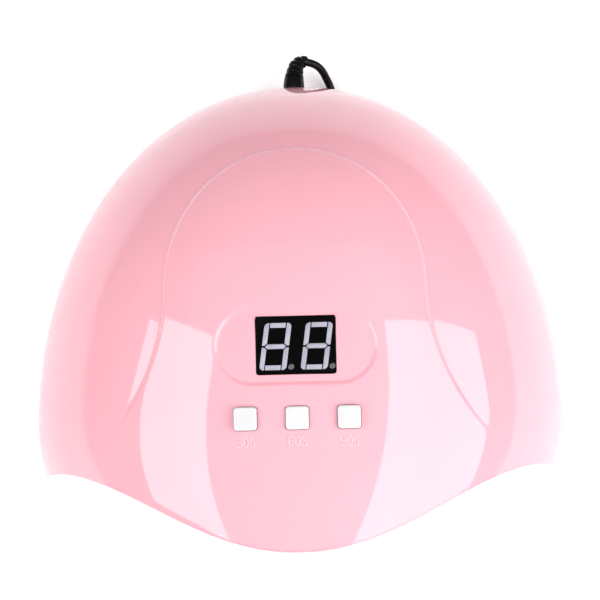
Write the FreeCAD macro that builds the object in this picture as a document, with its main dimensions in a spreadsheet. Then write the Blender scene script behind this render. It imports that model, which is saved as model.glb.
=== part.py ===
import FreeCAD, Part
import math
import os
import sys

import Sketcher
from FreeCAD import Placement, Rotation, Vector

# A small desk-top nail lamp. X runs left to right, the hand goes in from the front at -Y,
# Z is up, and the origin is on the table under the middle of the housing. Millimetres.

DIMENSIONS = {
    # Dome: half-width over Y is one ellipse behind the widest station and one in front of it
    "half_width": 85.0,
    "widest_at": -31.7,
    "rear_reach": 111.8,
    "front_reach": 66.0,
    "crown_at": -0.3,
    "crown_top": 70.0,
    "crown_fall": 0.0026,
    "arch_base": -6.0,
    "arch_power": 2.3,
    "wall": 2.4,
    "rim_height": 3.6,
    # Front lip, seen from above: a bell that sweeps forward from both front corners
    "lip_front": -80.1,
    "lip_sweep": 30.7,
    "lip_half": 82.5,
    # Raised centre panel
    "panel_rise": 1.4,
    "panel_power": 2.2,
    "panel_half": 39.2,
    "panel_length": 44.6,
    "panel_middle": -1.3,
    "panel_flare": 60.0,
    # Control area: a plane that leans towards the user
    "face_middle": -31.3,
    "face_height": 67.2,
    "face_lean": 9.1,
    "recess_length": 47.6,
    "recess_width": 22.6,
    "recess_depth": 0.8,
    "recess_centre": -20.5,
    "display_width": 23.4,
    "display_depth": 17.0,
    "display_top": -1.3,
    "digit_pitch": 12.2,
    "digit_height": 13.9,
    "digit_width": 8.0,
    "digit_bar": 1.42,
    "key_row": -10.7,
    "key_pitch": 15.3,
    "key_side": 6.9,
    "key_gap": 0.3,
    "key_top": 1.2,
    "key_corner": 1.0,
    "key_flange": 9.2,
    "flange_top": -5.9,
    "flange_thick": 0.7,
    "plunger_radius": 1.6,
    "switch_side": 6.2,
    "switch_tall": 2.5,
    # Circuit boards
    "board_thick": 1.6,
    "board_top": -9.7,
    "board_wide": 50.0,
    "board_front": -19.0,
    "board_rear": 21.0,
    "post_radius": 2.5,
    "capacitor_radius": 2.4,
    "capacitor_tall": 3.9,
    "inductor_side": 6.2,
    "inductor_tall": 2.9,
    # Inner reflector
    "reflector_inset": 9.5,
    "reflector_top": 49.0,
    "reflector_fall": 0.0013,
    "reflector_wall": 1.5,
    "trim_setback": 2.5,
    "bead_radius": 2.3,
    "bead_proud": 1.0,
    # Lead
    "outlet_height": 12.0,
    "relief_radius": 3.5,
    "relief_start": 78.4,
    "relief_lean_bend": 25.0,
    "relief_lean": 14.0,
    "relief_bend": 3.4,
    "relief_turn": 100.0,
    "relief_drop": 20.0,
    "cord_diameter": 2.6,
    "coil_radius": 15.0,
    "coil_columns": 5,
    "coil_layers": 2,
    "coil_lift": 0.7,
    "coil_x": 6.0,
    "coil_y": 38.0,
    "plug_x": -31.6,
    "plug_y": 17.0,
    "plug_turn": 8.0,
    "grip_length": 24.0,
    "grip_width": 15.5,
    "grip_tall": 7.6,
    "shell_length": 14.0,
    "shell_width": 12.0,
    "shell_tall": 4.5,
    # Feet and screws
    "foot_radius": 3.3,
    "screw_radius": 0.9,
    "screw_head": 1.8,
}

doc = FreeCAD.newDocument("nail_lamp")
sheet = doc.addObject("Spreadsheet::Sheet", "dims")
for row, (alias, value) in enumerate(DIMENSIONS.items(), start=1):
    sheet.set("A%d" % row, alias)
    sheet.set("B%d" % row, str(value))
    sheet.setAlias("B%d" % row, alias)
doc.recompute()

parts = []


def dim(alias):
    """A driving dimension, read from the sheet."""
    return float(sheet.get(alias))


def keep(obj, label):
    """Name an object as one of the lamp's pieces."""
    obj.Label = label
    parts.append(obj)
    return obj


def feature(name, shape, placement=None):
    """A document object whose shape is worked out below."""
    obj = doc.addObject("Part::Feature", name)
    obj.Shape = shape
    if placement:
        obj.Placement = placement
    return obj


def primitive(kind, name, sizes, placement=None):
    """A Part primitive with each size bound to the sheet."""
    obj = doc.addObject("Part::" + kind, name)
    for prop, expression in sizes.items():
        obj.setExpression(prop, expression)
    if placement:
        obj.Placement = placement
    return obj


def boolean(kind, name, base, tool):
    """A Part cut, fuse or common of two objects."""
    obj = doc.addObject("Part::" + kind, name)
    obj.Base = base
    obj.Tool = tool
    return obj


def group(name, objects):
    """Several identical pieces as one object."""
    obj = doc.addObject("Part::Compound", name)
    obj.Links = objects
    return obj


def fuse_all(shapes):
    """One shape from a list."""
    return shapes[0].multiFuse(shapes[1:]).removeSplitter()


# ---------------------------------------------------------------- the dome's surface

class Dome:
    """An arched surface: a half-ellipse-like arch at each Y, closing towards the rear."""

    def __init__(self, inset, top, fall, power):
        self.half = dim("half_width") - inset
        self.rear = dim("rear_reach") - inset
        self.front = dim("front_reach")
        self.top = top
        self.fall = fall
        self.power = power
        self.base = dim("arch_base")

    def half_width(self, y):
        offset = y - dim("widest_at")
        reach = self.rear if offset > 0 else self.front
        return self.half * math.sqrt(max(0.0, 1 - (offset / reach) ** 2))

    def rise(self, y):
        offset = y - dim("crown_at")
        full = self.top - self.base
        if offset < 0:
            return full - self.fall * offset ** 2
        length = dim("widest_at") + self.rear - dim("crown_at")
        return full * math.sqrt(max(0.0, 1 - (offset / length) ** 2))

    def height(self, x, y):
        share = min(1.0, abs(x) / self.half_width(y))
        return self.base + self.rise(y) * (1 - share ** self.power) ** (1 / self.power)

    def level(self, point):
        """Below 1 inside the dome, above 1 outside it."""
        across = abs(point.x) / max(self.half_width(point.y), 1e-6)
        up = max(point.z - self.base, 0) / max(self.rise(point.y), 1e-6)
        return across ** self.power + up ** self.power

    def normal(self, point):
        """The outward normal near a point on the surface."""
        step = 0.01
        slopes = []
        for axis in (Vector(step, 0, 0), Vector(0, step, 0), Vector(0, 0, step)):
            slopes.append(self.level(point + axis) - self.level(point - axis))
        return Vector(*slopes).normalize()

    def arch(self, y, count=28):
        """Points along the arch at Y, from the right side over the crown to the left."""
        points = []
        for i in range(count + 1):
            angle = math.pi * i / count
            across = math.cos(angle)
            x = self.half_width(y) * math.copysign(abs(across) ** (2 / self.power), across)
            up = max(0.0, math.sin(angle)) ** (2 / self.power)
            points.append(Vector(x, y, self.base + self.rise(y) * up))
        return points

    def solid(self):
        """The dome as a closed solid, flat at its base, front end and small rear end."""
        stations = []
        for i in range(1, 13):
            stations.append(dim("widest_at") + self.rear * math.cos(math.radians(4 + 7 * (i - 1))))
        for i in range(7):
            stations.append(dim("widest_at") - 9.0 * i)
        surface = Part.BSplineSurface()
        surface.interpolate([self.arch(y) for y in stations])
        skin = surface.toShape()
        rear, front = self.arch(stations[0]), self.arch(stations[-1])
        corners = [rear[0], front[0], front[-1], rear[-1]]
        ring = [Part.LineSegment(corners[i], corners[(i + 1) % 4]).toShape() for i in (1, 3)]
        sides = []
        for edge in skin.Edges:
            box = edge.BoundBox
            if box.ZMax - self.base < 1e-6:
                ring.append(edge)
            else:
                sides.append(edge)
        faces = [skin, Part.Face(Part.Wire(Part.__sortEdges__(ring)))]
        for edge in sides:
            ends = [v.Point for v in edge.Vertexes]
            line = Part.LineSegment(ends[0], ends[1]).toShape()
            faces.append(Part.Face(Part.Wire([edge, line])))
        solid = Part.makeSolid(Part.makeShell(faces))
        if solid.Volume < 0:
            solid.reverse()
        return solid


BASE_TOP = dim("crown_top") - dim("panel_rise")
outer_dome = Dome(0, BASE_TOP, dim("crown_fall"), dim("arch_power"))
inner_dome = Dome(dim("wall"), BASE_TOP - dim("wall"), dim("crown_fall"), dim("arch_power"))
panel_dome = Dome(0, dim("crown_top"), dim("crown_fall"), dim("panel_power"))
floor_dome = Dome(0, dim("crown_top") - dim("recess_depth"), dim("crown_fall"), dim("panel_power"))
reflector_outside = Dome(dim("reflector_inset"), dim("reflector_top"), dim("reflector_fall"),
                         dim("arch_power"))
reflector_inside = Dome(dim("reflector_inset") + dim("reflector_wall"),
                        dim("reflector_top") - dim("reflector_wall"), dim("reflector_fall"),
                        dim("arch_power"))


def lip_y(x):
    """Where the front edge is above a given X."""
    share = min(1.0, abs(x) / dim("lip_half"))
    bell = (1 - math.cos(math.pi * share ** 1.05)) / 2
    return dim("lip_front") + dim("lip_sweep") * (0.81 * bell + 0.19 * share ** 2)


def behind_lip(setback):
    """Everything that lies further back than the front lip plus a setback."""
    reach = dim("lip_half")
    points = [Vector(reach * i / 12, lip_y(reach * i / 12) + setback, -20) for i in range(-12, 13)]
    curve = Part.BSplineCurve()
    curve.interpolate(points)
    far = [Vector(120, points[-1].y, -20), Vector(120, 120, -20), Vector(-120, 120, -20),
           Vector(-120, points[0].y, -20)]
    wire = Part.Wire([curve.toShape(), Part.makePolygon([points[-1]] + far + [points[0]])])
    return Part.Face(wire).extrude(Vector(0, 0, 120))


def above(height):
    """Everything above a level."""
    return Part.makeBox(260, 260, 120, Vector(-130, -130, height))


def slab(low, high):
    """A wide slab between two levels."""
    return Part.makeBox(260, 260, high - low, Vector(-130, -130, low))


# ---------------------------------------------------------------- the control area

def face_placement(u, v, w):
    """A place on the leaning control plane: U to the right, V up the slope, W outwards."""
    plane = Placement(Vector(0, dim("face_middle"), dim("face_height")),
                      Rotation(Vector(1, 0, 0), dim("face_lean")))
    return plane.multiply(Placement(Vector(u, v, w), Rotation()))


def face_point(u, v, w):
    return face_placement(u, v, w).Base


def rounded_prism(width, depth, radius, low, high):
    """An upright prism with a rounded-rectangle outline, centred on the origin."""
    prism = Part.makeBox(width, depth, high - low, Vector(-width / 2, -depth / 2, low))
    upright = [e for e in prism.Edges if abs(e.BoundBox.ZLength - (high - low)) < 1e-6]
    return prism.makeFillet(radius, upright)


def placed(shape, placement):
    """A copy of a shape, moved to a placement."""
    moved = shape.copy()
    moved.Placement = placement.multiply(moved.Placement)
    return moved


DISPLAY_V = (dim("recess_centre") - dim("face_middle")) / math.cos(math.radians(dim("face_lean")))
KEYS = {"30s": -dim("key_pitch"), "60s": 0.0, "90s": dim("key_pitch")}
POST_PLACES = [(u, v) for u in (-22.4, 22.4) for v in (-16.6, 18.0)]
BOARD_BOTTOM = dim("board_top") - dim("board_thick")


def panel_outline():
    """The raised panel's outline from above: a round rear end, flaring towards the front."""
    half, middle, flare = dim("panel_half"), dim("panel_middle"), dim("panel_flare")
    count = 16
    points = []
    for i in range(count + 1):
        angle = math.pi * i / count
        points.append(Vector(half * math.cos(angle), middle + dim("panel_length") * math.sin(angle), 0))
    cap_curve = Part.BSplineCurve()
    cap_curve.interpolate(points)
    edges = [cap_curve.toShape()]
    ends = []
    for side in (1, -1):
        centre = Vector(side * (half + flare), middle, 0)
        turned = []
        for degrees in (0, 34, 68):
            angle = math.radians(degrees)
            turned.append(centre + Vector(-side * flare * math.cos(angle), -flare * math.sin(angle), 0))
        edges.append(Part.Arc(*turned).toShape())
        ends.append(turned[-1])
    front = [ends[0], Vector(ends[0].x, -120, 0), Vector(ends[1].x, -120, 0), ends[1]]
    edges.append(Part.makePolygon(front))
    wires = Part.Wire(Part.__sortEdges__([e for piece in edges for e in piece.Edges]))
    return Part.Face(wires).extrude(Vector(0, 0, 100))


def stadium():
    """The racetrack outline of the shallow recess, as a tall prism."""
    prism = rounded_prism(dim("recess_length"), dim("recess_width"), dim("recess_width") / 2 - 0.01,
                          50, 90)
    prism.translate(Vector(0, dim("recess_centre"), 0))
    return prism


def rim_ring(fraction, y):
    """X between the reflector (0) and the housing wall (1) at the rim, at a given Y."""
    z = dim("rim_height")
    edges = []
    for dome in (reflector_outside, inner_dome):
        up = min(1.0, (z - dome.base) / dome.rise(y))
        edges.append(dome.half_width(y) * (1 - up ** dome.power) ** (1 / dome.power))
    return edges[0] + fraction * (edges[1] - edges[0])


RIM_SCREWS = [(side * rim_ring(0.62, y), y) for side in (1, -1) for y in (-14.0, 56.0)]
FEET = [(side * rim_ring(0.5, y), y) for side in (1, -1) for y in (-40.0, 44.0)]


def outer_shell():
    """The pink housing: a one-piece thin dome with everything moulded into it."""
    panel = panel_dome.solid().common(panel_outline())
    skin = outer_dome.solid().fuse(panel)
    skin = skin.cut(inner_dome.solid())
    bosses = []
    for x, y in RIM_SCREWS:
        boss = Part.makeCylinder(2.5, 11, Vector(x, y, dim("rim_height") + 1.9))
        bosses.append(boss.common(outer_dome.solid()))
    for u, v in POST_PLACES:
        post = Part.makeCylinder(dim("post_radius"), 9, Vector(0, 0, 0))
        post = placed(post, face_placement(u, v, dim("board_top")))
        bosses.append(post.common(outer_dome.solid()))
    for x in CLAMP_SCREWS:
        post = placed(Part.makeCylinder(1.9, 9), clamp_placement(x, 2.5))
        bosses.append(post.common(outer_dome.solid()))
    shell = skin.fuse(bosses)
    shell = shell.common(behind_lip(0)).common(above(dim("rim_height")))
    cutters = [stadium().cut(floor_dome.solid())]
    window = Part.makeBox(dim("display_width") + 0.4, dim("display_depth") + 0.4, 14,
                          Vector(-dim("display_width") / 2 - 0.2, -dim("display_depth") / 2 - 0.2, -8))
    cutters.append(placed(window, face_placement(0, DISPLAY_V, 0)))
    hole_side = dim("key_side") + 2 * dim("key_gap")
    for u in KEYS.values():
        hole = rounded_prism(hole_side, hole_side, dim("key_corner") + dim("key_gap"), -8, 6)
        cutters.append(placed(hole, face_placement(u, dim("key_row"), 0)))
    cutters.append(Part.makeCylinder(dim("relief_radius") + 0.05, 30,
                                     Vector(0, 65, dim("outlet_height")), Vector(0, 1, 0)))
    for x, y in RIM_SCREWS:
        cutters.append(Part.makeCylinder(dim("screw_radius") + 0.05, dim("rim_height") + 9.3,
                                         Vector(x, y, 0)))
    for u, v in POST_PLACES:
        bore = Part.makeCylinder(dim("screw_radius") + 0.05, 4)
        cutters.append(placed(bore, face_placement(u, v, dim("board_top"))))
    for x in CLAMP_SCREWS:
        bore = Part.makeCylinder(dim("screw_radius") + 0.05, 3.5)
        cutters.append(placed(bore, clamp_placement(x, 2.5)))
    return feature("outer_shell_shape", shell.cut(cutters))


# ---------------------------------------------------------------- boards behind the reflector

BOARD_REACH = 0.5


class LightBoard:
    """A flat board that lies on the outside of the reflector, with beads that look through it."""

    def __init__(self, name, x, y, along, across, grid, screw_places=None):
        self.name = name
        self.along = along
        self.across = across
        self.grid = grid
        self.screw_places = screw_places or [(0, side * (along / 2 - 3)) for side in (-1, 1)]
        foot = Vector(x, y, reflector_outside.height(x, y))
        self.normal = reflector_outside.normal(foot)
        lengthwise = Vector(0, 1, 0) if abs(self.normal.y) < 0.6 else Vector(1, 0, 0)
        side = lengthwise.cross(self.normal).normalize()
        turn = Rotation(side, self.normal.cross(side), self.normal, "ZXY")
        self.placement = Placement(foot + self.normal * BOARD_REACH, turn)

    def depth_to(self, dome, u, v):
        """How far below the board's inner face a dome's surface is."""
        low, high = 0.0, 12.0
        for _ in range(30):
            middle = (low + high) / 2
            point = self.placement.multVec(Vector(u, v, -middle))
            if dome.level(point) > 1:
                low = middle
            else:
                high = middle
        return low

    def board(self):
        obj = doc.addObject("Part::Box", self.name + "_plate")
        obj.Length, obj.Width = self.across, self.along
        obj.setExpression("Height", "dims.board_thick")
        obj.Placement = self.placement.multiply(
            Placement(Vector(-self.across / 2, -self.along / 2, 0), Rotation()))
        holes = []
        for i, (u, v) in enumerate(self.screw_places):
            hole = primitive("Cylinder", "%s_hole_%d" % (self.name, i),
                             {"Radius": "dims.screw_radius + 0.1", "Height": "dims.board_thick + 2"})
            hole.Placement = self.placement.multiply(Placement(Vector(u, v, -1), Rotation()))
            holes.append(hole)
        return keep(boolean("Cut", self.name, obj, group(self.name + "_holes", holes)), self.name)

    def beads(self, label, radius, proud):
        """Round-nosed emitters, from the board's face through the reflector."""
        shapes = []
        for u, v in self.grid:
            length = self.depth_to(reflector_inside, u, v) + proud
            stem = Part.makeCylinder(radius, length, Vector(u, v, 0), Vector(0, 0, -1))
            nose = Part.makeSphere(radius, Vector(u, v, -length))
            shapes.append(placed(stem.fuse(nose).removeSplitter(), self.placement))
        return keep(feature(label, Part.makeCompound(shapes)), label)

    def reflector_bosses(self):
        shapes = []
        for u, v in self.screw_places:
            boss = Part.makeCylinder(2.0, self.depth_to(reflector_inside, u, v) - 0.4,
                                     Vector(u, v, 0), Vector(0, 0, -1))
            shapes.append(placed(boss, self.placement))
        return shapes

    def reflector_holes(self, radius):
        shapes = []
        for u, v in self.grid:
            hole = Part.makeCylinder(radius, 14, Vector(u, v, 0.2), Vector(0, 0, -1))
            shapes.append(placed(hole, self.placement))
        for u, v in self.screw_places:
            bore = Part.makeCylinder(dim("screw_radius") + 0.05, 1.8, Vector(u, v, 0.1), Vector(0, 0, -1))
            shapes.append(placed(bore, self.placement))
        return shapes

    def screws(self):
        shapes = []
        for u, v in self.screw_places:
            shapes.append(placed(pan_screw(1.6 + dim("board_thick")),
                                 self.placement.multiply(Placement(Vector(u, v, dim("board_thick")),
                                                                   Rotation(Vector(1, 0, 0), 180)))))
        return shapes


def pan_screw(length):
    """A screw that points up +Z from a head whose underside is at Z = 0."""
    head = Part.makeCylinder(dim("screw_head"), 1.2, Vector(0, 0, -1.2))
    head = head.makeFillet(0.4, [e for e in head.Edges if e.BoundBox.ZMax < -1.1])
    slot = Part.makeBox(2.6, 0.5, 0.5, Vector(-1.3, -0.25, -1.2))
    tip = Part.makeCone(dim("screw_radius"), 0.3, 0.5, Vector(0, 0, length - 0.5))
    shank = Part.makeCylinder(dim("screw_radius"), length - 0.5).fuse(tip)
    return head.cut(slot).cut(slot.rotated(Vector(0, 0, 0), Vector(0, 0, 1), 90)).fuse(shank)


def grid(columns, rows, column_pitch, row_pitch, v_shift=0.0):
    """Places of a centred grid."""
    places = []
    for i in range(columns):
        for j in range(rows):
            places.append(((i - (columns - 1) / 2) * column_pitch,
                           (j - (rows - 1) / 2) * row_pitch + v_shift))
    return places


SIDE_X = 60.0
BOARDS = [
    LightBoard("led_board_top", 0, -10, 48, 30, grid(2, 3, 18, 14)),
    LightBoard("led_board_left", -SIDE_X, -14, 46, 16, grid(1, 4, 0, 10)),
    LightBoard("led_board_right", SIDE_X, -14, 46, 16, grid(1, 4, 0, 10)),
    LightBoard("led_board_rear", 0, 55, 44, 14, grid(1, 4, 0, 9.5)),
]
SENSOR_BOARD = LightBoard("sensor_board", 0, -60, 9, 24, [(-5, 0), (5, 0)], [(-9.5, 0), (9.5, 0)])


def inner_reflector():
    """The white liner: hand chamber, bottom flange and front trim in one moulding."""
    liner = reflector_outside.solid()
    gap_outside = Dome(dim("wall") + 0.2, BASE_TOP - dim("wall") - 0.2, dim("crown_fall"),
                       dim("arch_power")).solid()
    flange = gap_outside.common(slab(dim("rim_height"), dim("rim_height") + 1.6))
    setback = dim("trim_setback")
    trim = gap_outside.common(behind_lip(setback)).cut(behind_lip(setback + 1.6))
    solid = liner.fuse([flange, trim]).common(behind_lip(setback)).common(above(dim("rim_height")))
    extras = []
    for board in BOARDS + [SENSOR_BOARD]:
        extras += board.reflector_bosses()
    solid = solid.fuse(extras)
    holes = []
    for board in BOARDS:
        holes += board.reflector_holes(dim("bead_radius") + 0.3)
    holes += SENSOR_BOARD.reflector_holes(1.5 + 0.2)
    for x, y in RIM_SCREWS:
        holes.append(Part.makeCylinder(dim("screw_radius") + 0.2, 8, Vector(x, y, 0)))
        holes.append(Part.makeCylinder(2.8, 20, Vector(x, y, dim("rim_height") + 1.6)))
    return feature("reflector_shape", solid.cut([reflector_inside.solid()] + holes))


# ---------------------------------------------------------------- control electronics

def sketch_rectangle(body, role, name, width, depth, offset=0.0):
    """A centred rectangle on one of a body's own planes, with its sides bound to the sheet."""
    plane = [f for f in body.Origin.OriginFeatures if f.Role == role][0]
    sketch = body.newObject("Sketcher::SketchObject", name)
    sketch.AttachmentSupport = [(plane, "")]
    sketch.MapMode = "FlatFace"
    sketch.AttachmentOffset = Placement(Vector(0, 0, offset), Rotation())
    a, b = 3.0, 2.0
    corners = [Vector(-a, -b, 0), Vector(a, -b, 0), Vector(a, b, 0), Vector(-a, b, 0)]
    for i in range(4):
        sketch.addGeometry(Part.LineSegment(corners[i], corners[(i + 1) % 4]), False)
    for i in range(4):
        sketch.addConstraint(Sketcher.Constraint("Coincident", i, 2, (i + 1) % 4, 1))
    for i, kind in enumerate(("Horizontal", "Vertical", "Horizontal", "Vertical")):
        sketch.addConstraint(Sketcher.Constraint(kind, i))
    sketch.addConstraint(Sketcher.Constraint("Symmetric", 0, 1, 2, 1, -1, 1))
    across = sketch.addConstraint(Sketcher.Constraint("DistanceX", 0, 1, 0, 2, 2 * a))
    deep = sketch.addConstraint(Sketcher.Constraint("DistanceY", 1, 1, 1, 2, 2 * b))
    sketch.setExpression("Constraints[%d]" % across, width)
    sketch.setExpression("Constraints[%d]" % deep, depth)
    return sketch


def pad(body, name, sketch, length):
    """A pad whose length is bound to the sheet."""
    obj = body.newObject("PartDesign::Pad", name)
    obj.Profile = sketch
    obj.setExpression("Length", length)
    doc.recompute()
    return obj


def round_edges(body, name, base, radius, wanted):
    """A fillet on the edges of a feature that a test picks out."""
    picked = ["Edge%d" % (i + 1) for i, e in enumerate(base.Shape.Edges) if wanted(e)]
    obj = body.newObject("PartDesign::Fillet", name)
    obj.Base = (base, picked)
    obj.setExpression("Radius", radius)
    doc.recompute()
    return obj


def key_cap(name, u):
    """A square white cap on a wider flange that stops it falling out."""
    body = doc.addObject("PartDesign::Body", "button_" + name)
    stem = sketch_rectangle(body, "XY_Plane", "cap_outline_" + name, "dims.key_side", "dims.key_side")
    cap = pad(body, "cap_" + name, stem, "dims.key_top - dims.flange_top + dims.flange_thick")
    tall = dim("key_top") - dim("flange_top") + dim("flange_thick")
    cap = round_edges(body, "cap_corners_" + name, cap, "dims.key_corner",
                      lambda e: abs(e.BoundBox.ZLength - tall) < 1e-6)
    cap = round_edges(body, "cap_rim_" + name, cap, "dims.key_corner * 0.6",
                      lambda e: e.BoundBox.ZMin > tall - 1e-6)
    lower = sketch_rectangle(body, "XY_Plane", "flange_outline_" + name, "dims.key_flange",
                             "dims.key_flange")
    pad(body, "flange_" + name, lower, "dims.flange_thick")
    body.Placement = face_placement(u, dim("key_row"), dim("flange_top") - dim("flange_thick"))
    return keep(body, "button_" + name)


def key_plunger(name, u):
    """The switch's own plunger, pushed by the cap."""
    obj = primitive("Cylinder", "plunger_" + name, {"Radius": "dims.plunger_radius", "Height": "1.3"})
    obj.Placement = face_placement(u, dim("key_row"), dim("flange_top") - dim("flange_thick") - 1.3)
    return keep(obj, "plunger_" + name)


def switch_bodies():
    """Three push switches on the board, each with a bore for its plunger."""
    switches = []
    for name, u in KEYS.items():
        place = face_placement(u, dim("key_row"), dim("board_top"))
        side = dim("switch_side")
        block = primitive("Box", "switch_block_" + name,
                          {"Length": "dims.switch_side", "Width": "dims.switch_side",
                           "Height": "dims.switch_tall"},
                          place.multiply(Placement(Vector(-side / 2, -side / 2, 0), Rotation())))
        bore = primitive("Cylinder", "switch_bore_" + name,
                         {"Radius": "dims.plunger_radius + 0.3", "Height": "2"},
                         place.multiply(Placement(Vector(0, 0, dim("switch_tall") - 1.4), Rotation())))
        switches.append(boolean("Cut", "switch_" + name, block, bore))
    return keep(group("switch_bodies", switches), "switch_bodies")


def control_board():
    """The board under the control area, with holes for its four screws."""
    body = doc.addObject("PartDesign::Body", "control_board_body")
    outline = sketch_rectangle(body, "XY_Plane", "board_outline", "dims.board_wide",
                               "dims.board_rear - dims.board_front")
    pad(body, "board_plate", outline, "dims.board_thick")
    middle = (dim("board_front") + dim("board_rear")) / 2
    body.Placement = face_placement(0, middle, BOARD_BOTTOM)
    holes = []
    for i, (u, v) in enumerate(POST_PLACES):
        hole = primitive("Cylinder", "board_hole_%d" % i,
                         {"Radius": "dims.screw_radius + 0.2", "Height": "dims.board_thick + 2"})
        hole.Placement = face_placement(u, v, BOARD_BOTTOM - 1)
        holes.append(hole)
    return keep(boolean("Cut", "control_board", body, group("board_holes", holes)), "control_board")


def digit_shapes():
    """One slanted seven-segment digit and its point, as flat faces centred on the digit."""
    half, tall = dim("digit_width") / 2, dim("digit_height") / 2
    bar, gap = dim("digit_bar"), 0.3
    flat = half - bar - gap
    outlines = []
    for side in (1, -1):
        outlines.append([(-flat, side * (tall - bar)), (flat, side * (tall - bar)),
                         (flat, side * tall), (-flat, side * tall)])
    tip = half - bar * 0.62
    outlines.append([(-tip, 0), (-tip + bar / 2, -bar / 2), (tip - bar / 2, -bar / 2), (tip, 0),
                     (tip - bar / 2, bar / 2), (-tip + bar / 2, bar / 2)])
    upright = [(half, 0.28), (half, tall - 1.2), (half - 0.35, tall - 0.35), (half - 1.2, tall),
               (half - bar, tall), (half - bar, 0.95), (half - bar / 2, 0.28)]
    for across in (1, -1):
        for along in (1, -1):
            outlines.append([(across * x, along * y) for x, y in upright])
    lean = math.tan(math.radians(8))
    faces = []
    for outline in outlines:
        corners = [Vector(x + y * lean, y, 0) for x, y in outline]
        faces.append(Part.Face(Part.makePolygon(corners + corners[:1])))
    point = Part.Circle(Vector(half + 0.55, -tall + 0.9, 0), Vector(0, 0, 1), 0.85).toShape()
    faces.append(Part.Face(Part.Wire(point)))
    return faces


def display():
    """The two-digit module: a black body with pale segments let into its face."""
    low = dim("board_top")
    deep = dim("display_top") - low
    width, depth = dim("display_width"), dim("display_depth")
    place = face_placement(0, DISPLAY_V, low)
    block = primitive("Box", "display_block",
                      {"Length": "dims.display_width", "Width": "dims.display_depth",
                       "Height": "dims.display_top - dims.board_top"},
                      place.multiply(Placement(Vector(-width / 2, -depth / 2, 0), Rotation())))
    thick = 0.4
    segments = []
    for digit in (-0.5, 0.5):
        for face in digit_shapes():
            segment = face.extrude(Vector(0, 0, thick))
            segment.translate(Vector(digit * dim("digit_pitch") + 0.1, -0.5, deep - thick))
            segments.append(placed(segment, place))
    lit = feature("display_segments", Part.makeCompound(segments))
    keep(boolean("Cut", "display_housing", block, lit), "display_housing")
    keep(lit, "display_segments")


def board_parts():
    """What stands on the control board beside the display."""
    capacitor = primitive("Cylinder", "capacitor_can",
                          {"Radius": "dims.capacitor_radius", "Height": "dims.capacitor_tall"},
                          face_placement(-19, 7, dim("board_top")))
    keep(capacitor, "capacitor")
    core = rounded_prism(dim("inductor_side"), dim("inductor_side"), 1.0, 0, dim("inductor_tall"))
    keep(feature("inductor_core", core, face_placement(19, 5.5, dim("board_top"))), "inductor")
    body = Part.makeBox(5, 4, 1.5, Vector(-2.5, -2, 0.1))
    legs = []
    for side in (-1, 1):
        for i in range(4):
            legs.append(Part.makeBox(0.4, 1.0, 0.25,
                                     Vector(-2.1 + 1.27 * i, side * 2.5 - 0.5, 0)))
    chip = body.fuse(legs)
    keep(feature("chip_body", chip, face_placement(-18, 0.5, dim("board_top"))), "driver_chip")
    sockets = []
    for u in (-22.2, 22.2):
        socket = Part.makeBox(5, 3.6, 3.2, Vector(-2.5, -1.8, 0))
        socket = socket.cut(Part.makeBox(4, 2.4, 2.4, Vector(-2, -1.2, 0.8)))
        sockets.append(placed(socket, face_placement(u, 12.2, dim("board_top"))))
    keep(feature("board_sockets", Part.makeCompound(sockets)), "board_connectors")


# ---------------------------------------------------------------- leads and cord

def rounded_route(points, widest=None, report=None):
    """Straight runs joined by tangent arcs, as one wire."""
    edges = []
    start = points[0]
    for i in range(1, len(points) - 1):
        before, corner, after = points[i - 1], points[i], points[i + 1]
        back = (before - corner).normalize()
        ahead = (after - corner).normalize()
        turn = math.pi - back.getAngle(ahead)
        shorter = min((before - corner).Length, (after - corner).Length)
        setback = 0.45 * shorter
        if widest:
            setback = min(setback, widest * math.tan(turn / 2))
        radius = setback / math.tan(turn / 2)
        if report:
            print("%s: point %d turns %.0f degrees, radius %.1f mm"
                  % (report, i, math.degrees(turn), radius))
        first = corner + back * setback
        last = corner + ahead * setback
        bisector = (back + ahead).normalize()
        centre = corner + bisector * (radius / math.cos(turn / 2))
        middle = centre - bisector * radius
        edges.append(Part.LineSegment(start, first).toShape())
        edges.append(Part.Arc(first, middle, last).toShape())
        start = last
    edges.append(Part.LineSegment(start, points[-1]).toShape())
    return Part.Wire(edges)


def tube(path, radius):
    """A round solid along a path."""
    first = path.Edges[0]
    direction = first.tangentAt(first.FirstParameter)
    start = first.valueAt(first.FirstParameter)
    circle = Part.Wire(Part.Circle(start, direction, radius).toShape())
    return path.makePipeShell([circle], True, False, 2)


def clamp_placement(x, lift):
    """Beside the lead where it climbs behind the reflector; Z points out to the housing."""
    place = (LEAD_CLIMB[3] + LEAD_CLIMB[4]) * 0.5
    ahead = (LEAD_CLIMB[4] - LEAD_CLIMB[3]).normalize()
    out = Vector(1, 0, 0).cross(ahead).normalize()
    if out.y < 0:
        out = out * -1
    turn = Rotation(Vector(1, 0, 0), out.cross(Vector(1, 0, 0)), out, "ZXY")
    return Placement(place + out * lift + Vector(x, 0, 0), turn)


def climb_point(degrees):
    """A point half-way between reflector and housing on the rear centre line."""
    angle = math.radians(degrees)
    reach = (inner_dome.rear + reflector_outside.rear) / 2 + dim("widest_at") - dim("crown_at")
    rise = (inner_dome.rise(dim("crown_at")) + reflector_outside.rise(dim("crown_at"))) / 2
    return Vector(0, dim("crown_at") + reach * math.cos(angle), dim("arch_base") + rise * math.sin(angle))


LEAD_CLIMB = [
    Vector(0, 72.4, dim("outlet_height")),
    Vector(0, 69.0, dim("outlet_height")),
    climb_point(25) + Vector(0, 0.6, 0),
    climb_point(41),
    climb_point(57),
    climb_point(73),
    face_point(0, dim("board_rear") + 9, (dim("board_top") + BOARD_BOTTOM) / 2),
    face_point(0, dim("board_rear"), (dim("board_top") + BOARD_BOTTOM) / 2),
]
CLAMP_SCREWS = [-4.4, 4.4]


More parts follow.
